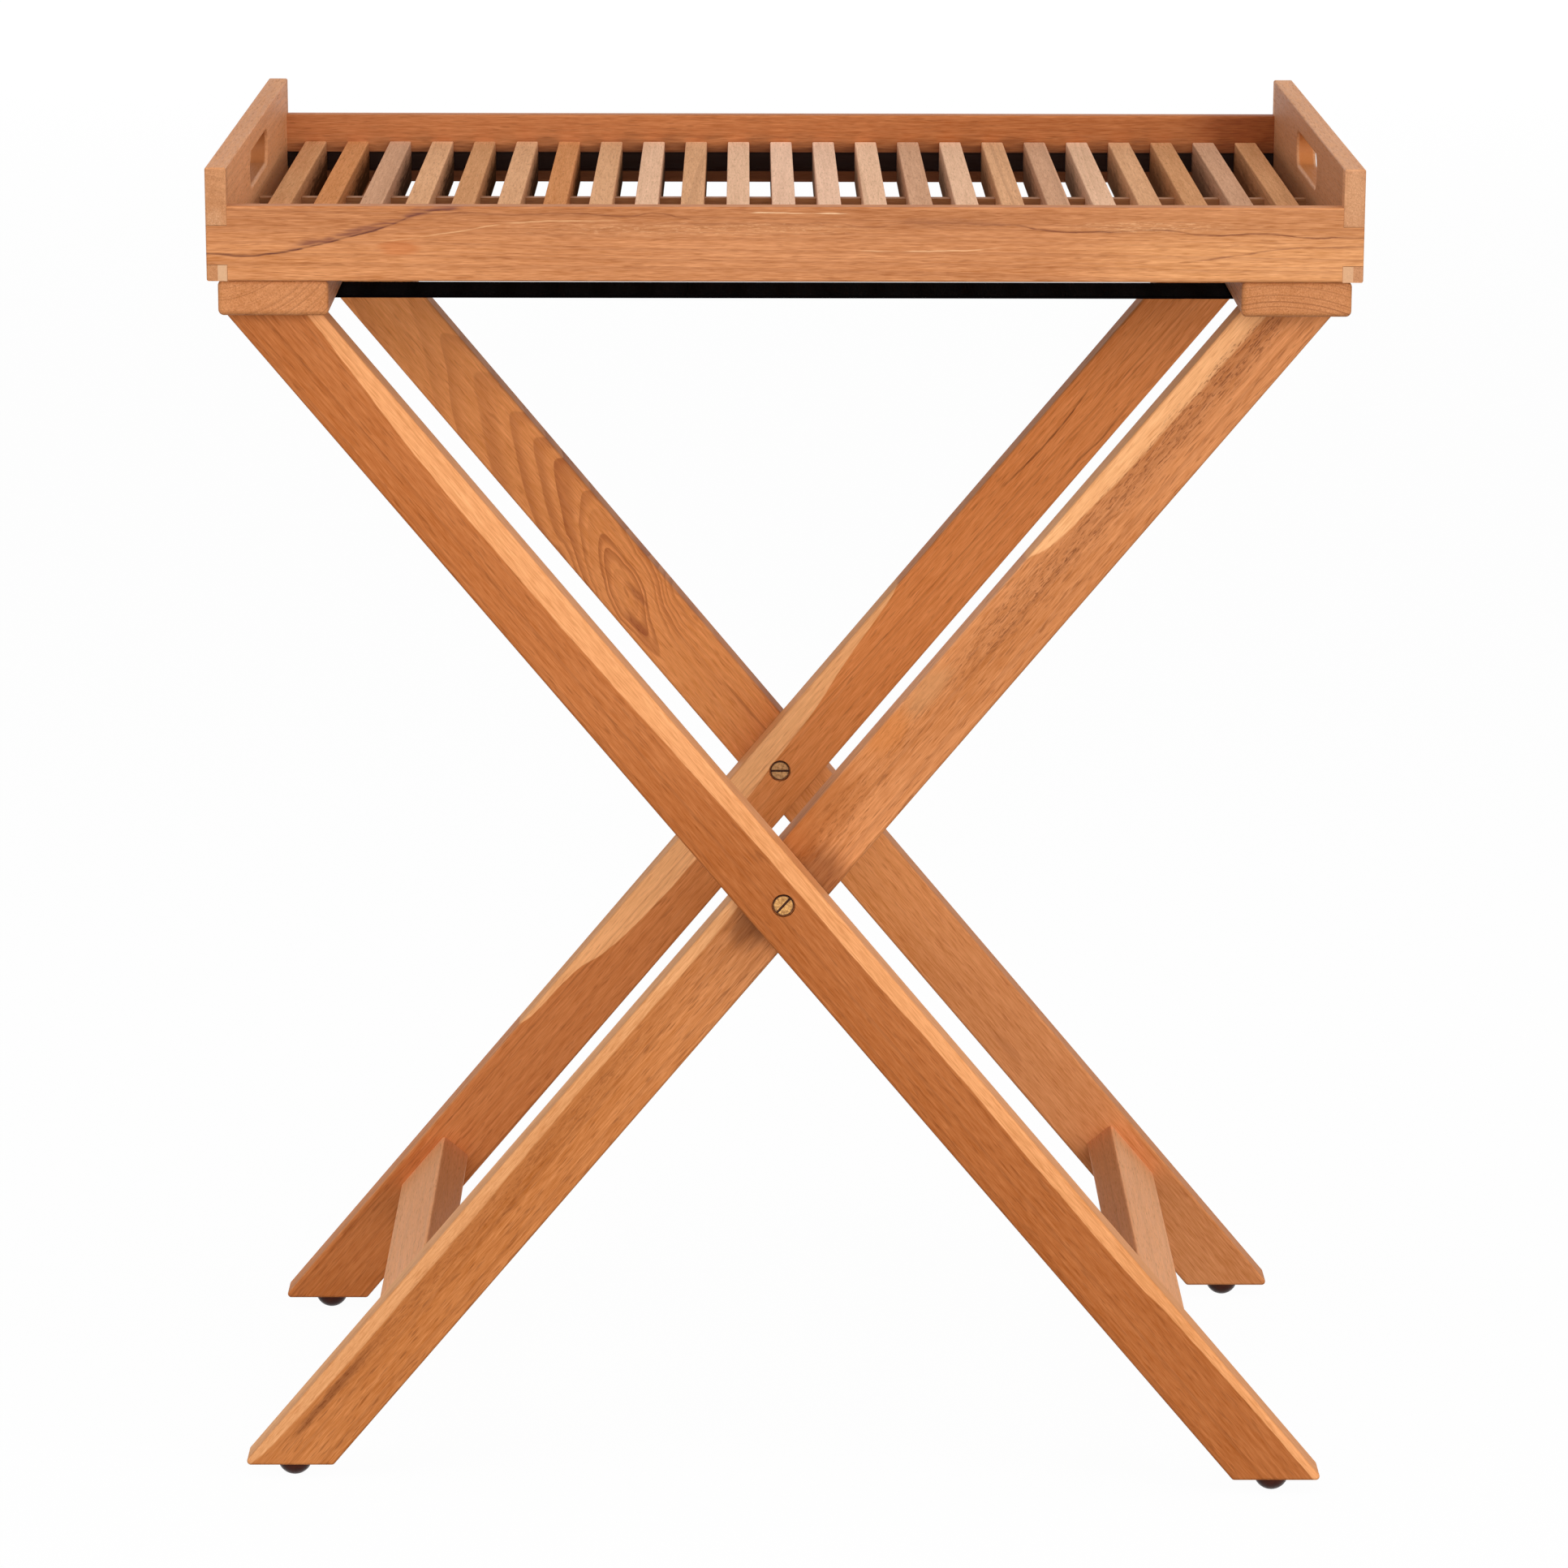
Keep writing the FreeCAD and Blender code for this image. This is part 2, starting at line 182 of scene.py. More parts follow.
for layer, depth, share in layers:
    swing = sums(tree, "MULTIPLY", sums(tree, "SUBTRACT", layer, 0.5), share)
    lightness = sums(tree, "MULTIPLY_ADD", swing, takes[depth], lightness, layer == hairs)
colour = tint(tree, lightness, takes["Ground"], takes["Pale"])
colour = tint(tree, sums(tree, "MULTIPLY", late, takes["Ring Depth"]), colour, takes["Line"])
colour = tint(tree, sums(tree, "MULTIPLY", pores, takes["Pore Depth"]), colour, takes["Line"])
tree.links.new(colour, gives["Color"])
rough = sums(tree, "MULTIPLY_ADD", pores, figure["poreRough"], rise(tree, fibres, 0.3, 0.7, *figure["rough"]))
tree.links.new(rough, gives["Roughness"])
height = sums(tree, "MULTIPLY_ADD", pores, -0.6, sums(tree, "MULTIPLY", hairs, 0.5))
height = sums(tree, "MULTIPLY_ADD", late, 0.2, height)
tree.links.new(height, gives["Height"])

# painted highlight: paler where two faces of a bar meet, broken up along the edge
edgeHighlight, takes, gives = startGroup("edgeHighlight", (
    ("Local", "Vector", (0, 0, 0)), ("Half Size", "Vector", (1, 1, 1)), ("Width", "Float", 0.002),
    ("Depth", "Float", 0.4)), (("Mask", "Float"),))
highlightBreaks = {"breaks": (60, 160, 160), "limits": (0.36, 0.62)}
tree = edgeHighlight
inward = vectors(tree, "SUBTRACT", takes["Half Size"], vectors(tree, "ABSOLUTE", takes["Local"]))
close = [rise(tree, side, 0.0, takes["Width"], 1.0, 0.0) for side in axes(tree, inward)]
pairs = [sums(tree, "MULTIPLY", close[a], close[b]) for a, b in ((0, 1), (1, 2), (0, 2))]
nearest = sums(tree, "MAXIMUM", sums(tree, "MAXIMUM", pairs[0], pairs[1]), pairs[2])
broken = rise(tree, streaks(tree, takes["Local"], highlightBreaks["breaks"], 3.0, 0.6), *highlightBreaks["limits"])
tree.links.new(sums(tree, "MULTIPLY", sums(tree, "MULTIPLY", nearest, broken), takes["Depth"]), gives["Mask"])

# sapwood along one edge of a bar, with a slightly wavy boundary
sapEdge, takes, gives = startGroup("sapEdge", (
    ("Grain", "Vector", (0, 0, 0)), ("Below Edge", "Float", 0.0), ("Reach", "Float", 0.008),
    ("Softness", "Float", 0.0008)), (("Mask", "Float"),))
wave = {"slow": (26, 0, 0), "slowReach": 0.0012, "quick": (90, 500, 500), "quickReach": 0.0009}
tree = sapEdge
slow = sums(tree, "SUBTRACT", streaks(tree, takes["Grain"], wave["slow"], 1.0), 0.5)
quick = sums(tree, "SUBTRACT", streaks(tree, takes["Grain"], wave["quick"], 2.0), 0.5)
edge = sums(tree, "MULTIPLY_ADD", slow, wave["slowReach"], takes["Reach"])
edge = sums(tree, "MULTIPLY_ADD", quick, wave["quickReach"], edge)
inside = sums(tree, "SUBTRACT", edge, takes["Below Edge"])
tree.links.new(rise(tree, sums(tree, "DIVIDE", inside, takes["Softness"]), -0.5, 0.5), gives["Mask"])

# a soft patch around one place, whole or broken into flecks: real stains and pale patches, and also painted shade
stainAndShade, takes, gives = startGroup("stainAndShade", (
    ("Local", "Vector", (0, 0, 0)), ("Place", "Vector", (0, 0, 0)), ("Spread", "Vector", (0.01, 0.01, 0.01)),
    ("Depth", "Float", 0.5), ("Flecks", "Float", 0.0)), (("Mask", "Float"),))
blot = {"torn": (40, 340, 340), "tornReach": 0.9, "edge": (0.35, 1.0), "flecks": (240, 1300, 1300),
        "fleckLimits": (0.53, 0.64)}
tree = stainAndShade
away = vectors(tree, "DIVIDE", vectors(tree, "SUBTRACT", takes["Local"], takes["Place"]), takes["Spread"])
torn = sums(tree, "SUBTRACT", streaks(tree, takes["Local"], blot["torn"], 3.0, 0.6), 0.5)
reach = sums(tree, "MULTIPLY_ADD", torn, blot["tornReach"], vectors(tree, "LENGTH", away))
soft = sums(tree, "MULTIPLY", rise(tree, reach, *blot["edge"], 1.0, 0.0), takes["Depth"])
fleck = rise(tree, streaks(tree, takes["Local"], blot["flecks"], 2.0, 0.6), *blot["fleckLimits"])
whole = sums(tree, "SUBTRACT", 1.0, takes["Flecks"])
tree.links.new(sums(tree, "MULTIPLY", soft, sums(tree, "MULTIPLY_ADD", fleck, takes["Flecks"], whole)), gives["Mask"])

# a patch with straight sides, such as the inside of a cut or a sawn tip
boxPatch, takes, gives = startGroup("boxPatch", (
    ("Local", "Vector", (0, 0, 0)), ("Place", "Vector", (0, 0, 0)), ("Reach", "Vector", (0.01, 0.01, 0.01)),
    ("Soft", "Float", 0.001), ("Depth", "Float", 0.5)), (("Mask", "Float"),))
tree = boxPatch
away = vectors(tree, "ABSOLUTE", vectors(tree, "SUBTRACT", takes["Local"], takes["Place"]))
inside = takes["Depth"]
for room in axes(tree, vectors(tree, "SUBTRACT", takes["Reach"], away)):
    inside = sums(tree, "MULTIPLY", inside, rise(tree, room, 0.0, takes["Soft"]))
tree.links.new(inside, gives["Mask"])

# dull brown film and fine scratches on old metal
tarnish, takes, gives = startGroup("tarnish", (
    ("Local", "Vector", (0, 0, 0)), ("Spread", "Vector", (400, 400, 400))), (("Film", "Float"), ("Scratch", "Float")))
film = {"limits": (0.36, 0.66), "scratches": (500, 500, 5200), "scratchLimits": (0.40, 0.62)}
tree = tarnish
spread = vectors(tree, "MULTIPLY", takes["Local"], takes["Spread"])
blotch = place(tree, "ShaderNodeTexNoise", {"Vector": spread, "Scale": 1.0, "Detail": 4.0, "Roughness": 0.65})
tree.links.new(rise(tree, blotch.outputs["Fac"], *film["limits"]), gives["Film"])
scratch = streaks(tree, takes["Local"], film["scratches"], 2.0, 0.6)
tree.links.new(rise(tree, scratch, *film["scratchLimits"]), gives["Scratch"])
print("shader groups ready")

# camera, at the photograph's place
view = {"place": (-0.02114, -3.05394, 1.11212), "down": 13.823, "aside": 0.424, "tilt": 0.154, "lens": 127.27,
        "sensor": 36}
lens = bpy.data.cameras.new("camera")
lens.sensor_fit = "HORIZONTAL"
lens.sensor_width = view["sensor"]
lens.lens = view["lens"]
camera = bpy.data.objects.new("camera", lens)
bpy.context.collection.objects.link(camera)
camera.matrix_world = (Matrix.Translation(view["place"])
                       @ Matrix.Rotation(-math.radians(view["aside"]), 4, "Z")
                       @ Matrix.Rotation(math.radians(90 - view["down"]), 4, "X")
                       @ Matrix.Rotation(math.radians(view["tilt"]), 4, "Z"))
bpy.context.scene.camera = camera
print("camera set")

# wood: one material for each board, because every board is cut from another place

teakBase = {
    "turn": (0, 0, 0), "seed": 0, "tone": (197, 119, 68), "contrast": 22, "dark": (104, 52, 24),
    "ringCentre": (0, 0.05, -0.09), "ringTurn": (0, 0, 0), "ringStretch": (30, 1, 1),
    "ringGap": 0.005, "ringWave": 0.004, "ringDepth": 0.35, "ringStart": 0.3,
    "fibre": 1.0, "pores": 0.3, "clouds": 0.9, "edge": 0.3, "edgeWidth": 0.0022,
    "arches": None, "fade": None, "sap": None, "sapTone": (230, 157, 100), "sapContrast": 20,
    "sapDark": (196, 118, 62), "sapSoft": 0.0007, "faces": (), "stainsAndShade": (), "patches": (), "lines": (),
    "bump": 0.1, "bumpDepth": 0.0004, "gloss": 0.12,
    "lineWobble": (60, 240, 240), "lineBreaks": (60, 800, 800), "lineTorn": 0.45,
}


def toneSpan(tone, contrast):  # the darkest and palest of the plain wood around its middle tone
    return [paint(*(min(255, max(0, channel + step)) for channel in tone)) for step in (-contrast, contrast)]


def shiftTones(tree, mask, tones, tone, contrast):
    return [tint(tree, mask, *pair) for pair in zip(tones, toneSpan(tone, contrast))]


def boxMask(tree, local, spot):
    return place(tree, "ShaderNodeGroup", {"Local": local, "Place": spot["place"], "Reach": spot["reach"],
                                           "Soft": spot["soft"], "Depth": spot["depth"]},
                 node_tree=boxPatch).outputs["Mask"]


def archRings(tree, along, upward, arches):  # nested arches, drawn as ring numbers along a bent axis
    drawn = {name: follow(tree, along, arches[name]) for name in ("axis", "years", "narrow")}
    sideways = sums(tree, "SUBTRACT", upward, drawn["axis"])
    blunt = arches["blunt"]
    spread = sums(tree, "POWER", sums(tree, "MULTIPLY_ADD", sideways, sideways, blunt * blunt), 0.5)
    spread = sums(tree, "SUBTRACT", spread, blunt)
    years = sums(tree, "MULTIPLY_ADD", spread, drawn["narrow"], drawn["years"])
    return place(tree, "ShaderNodeCombineXYZ", {0: years}).outputs[0]


def growthLine(tree, grain, along, upward, look, mark):  # mask of one line that is drawn along the board
    wobble = sums(tree, "SUBTRACT", streaks(tree, grain, look["lineWobble"], 3.0, 0.6), 0.5)
    level = sums(tree, "MULTIPLY_ADD", wobble, mark["wobble"], follow(tree, along, mark["points"]))
    off = sums(tree, "SUBTRACT", upward, level)
    mask = sums(tree, "MULTIPLY", rise(tree, off, 0.0, mark["fade"], 1.0, 0.0),
                rise(tree, off, -mark["width"], 0.0))
    start, end = mark["points"][0][0], mark["points"][-1][0]
    mask = sums(tree, "MULTIPLY", mask, rise(tree, along, start, start + mark["taper"]))
    mask = sums(tree, "MULTIPLY", mask, rise(tree, along, end - mark["taper"], end, mark["depth"], 0.0))
    broken = streaks(tree, grain, look["lineBreaks"], 2.0)
    return sums(tree, "MULTIPLY", mask, rise(tree, broken, 0.36, 0.6, mark.get("torn", look["lineTorn"]), 1.0))


def dressWood(node, look):
    look = {**teakBase, **look}
    low, high = (Vector(corner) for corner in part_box(node))
    centre = Vector(look.get("centre", (low + high) / 2))
    turn = radians(look["turn"])
    half = Euler(turn).to_matrix().transposed() @ ((high - low) / 2)
    half = look.get("half", [abs(side) for side in half])
    material, tree, shader = startMaterial(node + "_teak")
    local = ownAxes(tree, centre, turn)
    shift = random.Random(look["seed"])
    grain = vectors(tree, "ADD", local, [shift.uniform(-4, 4) for axis in range(3)])
    own = axes(tree, local)
    along, upward = own["X"], own["Z"]
    if look["arches"]:
        ring = archRings(tree, along, upward, look["arches"])
    else:
        ring = place(tree, "ShaderNodeMapping", {
            "Vector": local, "Location": look["ringCentre"], "Rotation": radians(look["ringTurn"]),
            "Scale": look["ringStretch"]}, vector_type="TEXTURE").outputs[0]
    tones = toneSpan(look["tone"], look["contrast"])  # the ground and the pale streaks
    edgeLightTone = tones[1]
    dark = paint(*look["dark"])
    if look["fade"]:  # the tone drifts along the board; on the outer back leg this is painted light
        drift = follow(tree, along, look["fade"]["points"])
        tones = shiftTones(tree, drift, tones, look["fade"]["tone"], look["contrast"])
    for spot in look["faces"]:  # a face of another tone, with the same grain; some pieces use it for painted light and painted shade
        tones = shiftTones(tree, boxMask(tree, local, spot), tones, spot["colour"], look["contrast"])
    if look["sap"]:
        below = sums(tree, "SUBTRACT", half[2], upward)
        sap = place(tree, "ShaderNodeGroup", {"Grain": grain, "Below Edge": below, "Softness": look["sapSoft"],
                                              "Reach": follow(tree, along, look["sap"])},
                    node_tree=sapEdge).outputs["Mask"]
        tones = shiftTones(tree, sap, tones, look["sapTone"], look["sapContrast"])
        dark = tint(tree, sap, dark, paint(*look["sapDark"]))
        edgeLightTone = toneSpan(look["sapTone"], look["sapContrast"])[1]
    ringDepth = look["ringDepth"]
    if not isinstance(ringDepth, float):  # rings that fade along the board
        ringDepth = follow(tree, along, ringDepth)
    teak = place(tree, "ShaderNodeGroup", {
        "Grain": grain, "Ring": ring, "Ground": tones[0], "Pale": tones[1], "Line": dark, "Ring Gap": look["ringGap"],
        "Ring Wave": look["ringWave"], "Ring Depth": ringDepth, "Ring Start": look["ringStart"],
        "Fibre Depth": look["fibre"], "Pore Depth": look["pores"], "Cloud Depth": look["clouds"]},
        node_tree=teakGrain)
    colour = teak.outputs["Color"]
    for mark in look["lines"]:  # single growth lines, dark or pale
        colour = tint(tree, growthLine(tree, grain, along, upward, look, mark), colour, paint(*mark["colour"]))
    for spot in look["stainsAndShade"]:
        patch = place(tree, "ShaderNodeGroup", {"Local": local, "Place": spot["place"], "Spread": spot["spread"],
                                                "Depth": spot["depth"], "Flecks": spot.get("flecks", 0.0)},
                      node_tree=stainAndShade)
        colour = tint(tree, patch.outputs["Mask"], colour, paint(*spot["colour"]))
    for spot in look["patches"]:
        colour = tint(tree, boxMask(tree, local, spot), colour, paint(*spot["colour"]))
    # painted highlight along the edges of the bar
    edgeLight = place(tree, "ShaderNodeGroup", {"Local": local, "Half Size": half, "Width": look["edgeWidth"],
                                             "Depth": look["edge"]}, node_tree=edgeHighlight)
    colour = tint(tree, edgeLight.outputs["Mask"], colour, edgeLightTone)
    tree.links.new(colour, shader.inputs["Base Color"])
    tree.links.new(teak.outputs["Roughness"], shader.inputs["Roughness"])
    relief(tree, shader, teak.outputs["Height"], look["bump"], look["bumpDepth"])
    shader.inputs["Specular IOR Level"].default_value = look["gloss"]
    coat(node, material)


# tray rails: grain along the tray, the front one with a dark line that rises from the left end
railFace = -0.0055  # the rails' front face, from their middle
frontRail = {
    "seed": 3, "tone": (204, 135, 83), "dark": (134, 76, 44), "contrast": 24, "clouds": 0.7, "edge": 0.0,
    "ringCentre": (0.05, 0.02, -0.11), "ringTurn": (0, 1.0, 0), "ringGap": 0.0034, "ringDepth": 0.42,
    "ringWave": 0.009,
    "faces": ({"place": (0.27, 0, 0), "reach": (0.14, 0.2, 0.2), "soft": 0.08, "depth": 0.9,
               "colour": (212, 146, 92)},
              # darker towards the top edge, and the top face itself darkened as painted shade
              {"place": (0, 0, 0.0215), "reach": (0.4, 0.1, 0.026), "soft": 0.017, "depth": 0.7,
               "colour": (176, 110, 64)},
              {"place": (0, 0, 0.0205), "reach": (0.31, 0.02, 0.0012), "soft": 0.0005, "depth": 0.6,
               "colour": (176, 108, 62)}),
    "fade": {"tone": (193, 125, 76),
             "points": ((-0.3, 0.0), (-0.2, 0.2), (-0.05, 1.0), (0.1, 0.9), (0.24, 0.1), (0.3, 0.0))},
    "lines": (
        {"points": ((-0.32, -0.0048), (-0.3004, -0.0053), (-0.2796, -0.0062), (-0.2568, -0.0037), (-0.232, 0.002),
                    (-0.215, 0.0064), (-0.2033, 0.0104), (-0.1856, 0.0167), (-0.165, 0.0185)),
         "width": 0.0007, "fade": 0.0011, "taper": 0.012, "wobble": 0.0018, "depth": 0.95, "colour": (86, 42, 34)},
        {"points": ((-0.262, -0.0040), (-0.232, 0.0036), (-0.215, 0.0080), (-0.2033, 0.0112), (-0.1856, 0.0172),
                    (-0.16, 0.0185)),
         "width": 0.0022, "fade": 0.0034, "taper": 0.014, "wobble": 0.005, "depth": 0.8, "torn": 0.1,
         "colour": (118, 66, 52)},
        {"points": ((0.085, 0.0108), (0.1156, 0.0103), (0.1337, 0.0073), (0.1518, 0.0066), (0.17, 0.0068),
                    (0.19, 0.0078), (0.206, 0.0062), (0.2215, 0.0050), (0.2445, 0.0058), (0.26, 0.0048),
                    (0.279, 0.0036), (0.32, 0.0055)),
         "width": 0.0005, "fade": 0.0010, "taper": 0.03, "wobble": 0.0024, "depth": 0.85, "colour": (112, 58, 36)},
        {"points": ((0.195, -0.0105), (0.230, -0.0062), (0.266, -0.0016), (0.32, -0.0010)),
         "width": 0.0005, "fade": 0.0009, "taper": 0.03, "wobble": 0.0022, "depth": 0.65, "colour": (122, 68, 44)},
        {"points": ((-0.19, 0.0150), (-0.165, 0.0161), (-0.141, 0.0153), (-0.1166, 0.0158), (-0.0801, 0.0146),
                    (-0.068, 0.0159), (-0.0558, 0.0142), (-0.04, 0.0104)),
         "width": 0.0005, "fade": 0.0009, "taper": 0.02, "wobble": 0.0020, "depth": 0.75, "colour": (122, 66, 38)},
        {"points": ((-0.07, 0.0140), (-0.044, 0.0104), (-0.0151, 0.0113), (0.0042, 0.0105), (0.0236, 0.0114),
                    (0.0429, 0.0089), (0.0639, 0.0112), (0.11, 0.0108)),
         "width": 0.0005, "fade": 0.0009, "taper": 0.03, "wobble": 0.0024, "depth": 0.45, "colour": (134, 76, 46)},
        {"points": ((-0.22, -0.0005), (-0.1965, 0.0026), (-0.1675, 0.0068), (-0.1385, 0.0111), (-0.08, 0.0122)),
         "width": 0.0005, "fade": 0.0006, "taper": 0.02, "wobble": 0.0014, "depth": 0.5, "torn": 0.1,
         "colour": (242, 190, 138)},
        {"points": ((-0.03, 0.0172), (0.0, 0.0165), (0.035, 0.0162)),
         "width": 0.0005, "fade": 0.0005, "taper": 0.01, "wobble": 0.0012, "depth": 0.8, "torn": 0.0,
         "colour": (250, 208, 164)},
        {"points": ((0.03, -0.0028), (0.068, -0.0034), (0.115, -0.0006)),
         "width": 0.0005, "fade": 0.0005, "taper": 0.015, "wobble": 0.0012, "depth": 0.6, "torn": 0.0,
         "colour": (246, 198, 150)}),
    "stainsAndShade": ({"place": (0.085, railFace, 0.0115), "spread": (0.035, 0.01, 0.0036), "depth": 0.5, "flecks": 0.5,
                "colour": (134, 80, 52)},
               {"place": (-0.20, railFace, -0.002), "spread": (0.014, 0.01, 0.006), "depth": 0.5,
                "colour": (190, 104, 52)},
               {"place": (-0.05, railFace, 0.008), "spread": (0.12, 0.01, 0.005), "depth": 0.28, "flecks": 0.8,
                "colour": (240, 186, 136)},
               {"place": (0.19, railFace, 0.0095), "spread": (0.06, 0.01, 0.004), "depth": 0.36, "flecks": 0.8,
                "colour": (240, 188, 138)}),
}
dressWood("tray_front_rail", frontRail)
# painted shade: the groove in the back rail's inner face is near black
grooveShade = {"place": (0, -0.0028, -0.00765), "reach": (0.3, 0.0034, 0.0058), "soft": 0.0004, "depth": 0.95,
              "colour": (34, 14, 7)}
backRail = {"seed": 8, "tone": (174, 104, 56), "dark": (104, 54, 26), "contrast": 20,
            "ringCentre": (-0.1, -0.04, -0.12), "ringTurn": (0, -0.9, 0), "edge": 0.15, "patches": (grooveShade,),
            "fade": {"tone": (130, 62, 18),
                     "points": ((-0.3, 0.0), (0.15, 0.0), (0.225, 0.05), (0.262, 0.9), (0.3, 1.0))},
            # painted shade low on the inner face, under the slats
            "stainsAndShade": ({"place": (0, railFace, -0.012), "spread": (0.6, 0.012, 0.022), "depth": 0.75,
                        "colour": (92, 46, 22)},)}
dressWood("tray_back_rail", backRail)

# tray ends: grain along the tray's depth, sawn pale tips between the fingers, painted shade and warm bounce light
# inside the hand slots
# painted shade and warm bounce light inside the hand slot
slotShade = {"place": (0, 0, 0.0085), "reach": (0.0590, 0.0046, 0.0108), "soft": 0.0012, "depth": 0.85}
panelFront = {"place": (-0.2005, 0, 0.01), "reach": (0.0012, 0.02, 0.05), "soft": 0.0005, "depth": 0.5}
leftPanel = {
    "turn": (0, 0, 90), "seed": 12, "tone": (196, 135, 90), "dark": (130, 80, 50), "contrast": 18,
    "ringCentre": (0, 0.03, -0.10), "ringGap": 0.004, "ringDepth": 0.25,
    # painted light: the inner face, lit from the right, is paler
    "faces": ({"place": (0, -0.0058, 0), "reach": (0.19, 0.0008, 0.031), "soft": 0.0004, "depth": 0.55,
               "colour": (222, 156, 106)}, {**panelFront, "colour": (178, 120, 76)}),
    "patches": ({**slotShade, "colour": (150, 86, 42)},
                {"place": (-0.2, -0.0028, -0.0255), "reach": (0.0008, 0.0027, 0.0062), "soft": 0.0006, "depth": 0.55,
                 "colour": (226, 188, 150)}),
    "stainsAndShade": ({"place": (-0.2, 0.001, 0.002), "spread": (0.004, 0.006, 0.009), "depth": 0.32, "flecks": 0.7,
                "colour": (236, 196, 156)},),
}
dressWood("tray_left_panel", leftPanel)
rightPanel = {
    "turn": (0, 0, 90), "seed": 17, "tone": (200, 141, 98), "dark": (132, 82, 52), "contrast": 18,
    "ringCentre": (0.05, -0.02, 0.09), "ringGap": 0.0035, "ringDepth": 0.25,
    # painted shade: the inner face, turned away from the light, is darker
    "faces": ({"place": (0, 0.0058, 0), "reach": (0.19, 0.0008, 0.031), "soft": 0.0004, "depth": 0.65,
               "colour": (162, 105, 67)}, {**panelFront, "colour": (178, 122, 82)}),
    "patches": ({**slotShade, "colour": (180, 108, 54)},
                {"place": (-0.2, 0.0026, -0.0255), "reach": (0.0008, 0.0030, 0.0062), "soft": 0.0006, "depth": 0.4,
                 "colour": (232, 192, 152)}),
    "stainsAndShade": ({"place": (-0.2, 0.0, 0.014), "spread": (0.004, 0.008, 0.022), "depth": 0.4, "flecks": 0.6,
                "colour": (236, 186, 142)},),
}
dressWood("tray_right_panel", rightPanel)
batten = {"seed": 21, "tone": (152, 100, 60), "dark": (100, 58, 36), "contrast": 14}
dressWood("tray_batten", batten)

# slats: each from another board, with painted shade low on the sides towards the back
slatTones = {
    "brown": {"tone": (204, 146, 101), "dark": (136, 90, 60)},
    "orange": {"tone": (208, 140, 90), "dark": (138, 84, 50)},
    "grey": {"tone": (208, 159, 126), "dark": (142, 100, 74)},
    "tan": {"tone": (219, 165, 123), "dark": (150, 102, 70)},
    "pale": {"tone": (234, 188, 154), "dark": (170, 124, 94)},
    "pink": {"tone": (238, 194, 164), "dark": (174, 130, 104)},
}
slatOrder = ("brown orange grey tan brown tan orange tan pale tan pale pink pink "
             "pale grey pale tan grey pale tan brown grey brown").split()
slatShade = {"place": (0.19, 0, -0.009), "spread": (0.34, 0.03, 0.019), "colour": (48, 25, 14)}
shadeDepth = {"left": 0.85, "right": 0.55, "rightFrom": 13}  # by slat number, counted from the left
slatRange = {"ringDepth": (0.12, 0.34), "ringAlong": (-0.1, 0.1), "ringAside": (-0.08, 0.08), "ringBelow": -0.07,
             "ringTurn": (-1.5, 1.5), "ringGap": (0.003, 0.006)}
slatDraw = random.Random(41)
for number, tone in enumerate(slatOrder, 1):
    half = "left" if number < shadeDepth["rightFrom"] else "right"
    slatLook = {"turn": (0, 0, 90), "seed": 100 + number, "edge": 0.3, "contrast": 15,
                "ringDepth": slatDraw.uniform(*slatRange["ringDepth"]),
                "ringCentre": (slatDraw.uniform(*slatRange["ringAlong"]), slatDraw.uniform(*slatRange["ringAside"]),
                               slatRange["ringBelow"]),
                "ringTurn": (0, 0, slatDraw.uniform(*slatRange["ringTurn"])),
                "ringGap": slatDraw.uniform(*slatRange["ringGap"]),
                "stainsAndShade": ({**slatShade, "depth": shadeDepth[half]},), "gloss": 0.0}
    dressWood("slat_%02d" % number, {**slatLook, **slatTones[tone]})
print("tray wood dressed")

# crossed legs: the grain runs along each leg, its upper edge may keep a strip of sapwood
legLean = 50.1538
pivotLevel = 0.336566
legHalf = (0.45, 0.011, 0.01935)
legFace = -legHalf[1]
outerLegs, innerLegs = 0.165, 0.1415  # how far the legs of each frame stand from the middle
# painted light: the upper side faces of the legs get a lit tone of their own, pale on the front legs and browner on the
# back ones
legTopLight = {"place": (0, 0, 0.0205), "reach": (0.5, 0.02, 0.0021), "soft": 0.0009, "depth": 0.85,
          "colour": (240, 184, 144)}
legBase = {"half": legHalf, "faces": (legTopLight,), "edge": 0.0, "bump": 0.04, "gloss": 0.06}
brownTopLight = {**legTopLight, "colour": (214, 140, 88)}
outerLegFront = {
    **legBase, "turn": (0, legLean, 0), "centre": (0, -outerLegs, pivotLevel), "seed": 31,
    "tone": (187, 110, 57), "contrast": 18,
    "fade": {"tone": (176, 101, 50), "points": ((-0.45, 0.0), (-0.2, 0.1), (0.05, 0.9), (0.45, 1.0))},
    "ringCentre": (0, 0.03, -0.08), "ringGap": 0.0045, "ringDepth": 0.28,
    "sap": ((-0.43, 0.005), (-0.39, 0.0071), (-0.36, 0.0088), (-0.31, 0.0115), (-0.27, 0.0123), (-0.18, 0.0119),
            (-0.10, 0.0102), (0.0, 0.0086), (0.06, 0.0086), (0.13, 0.0072), (0.20, 0.0078), (0.27, 0.0078),
            (0.31, 0.0058), (0.39, 0.0042), (0.43, 0.0040)),
}
dressWood("outer_leg_front", outerLegFront)
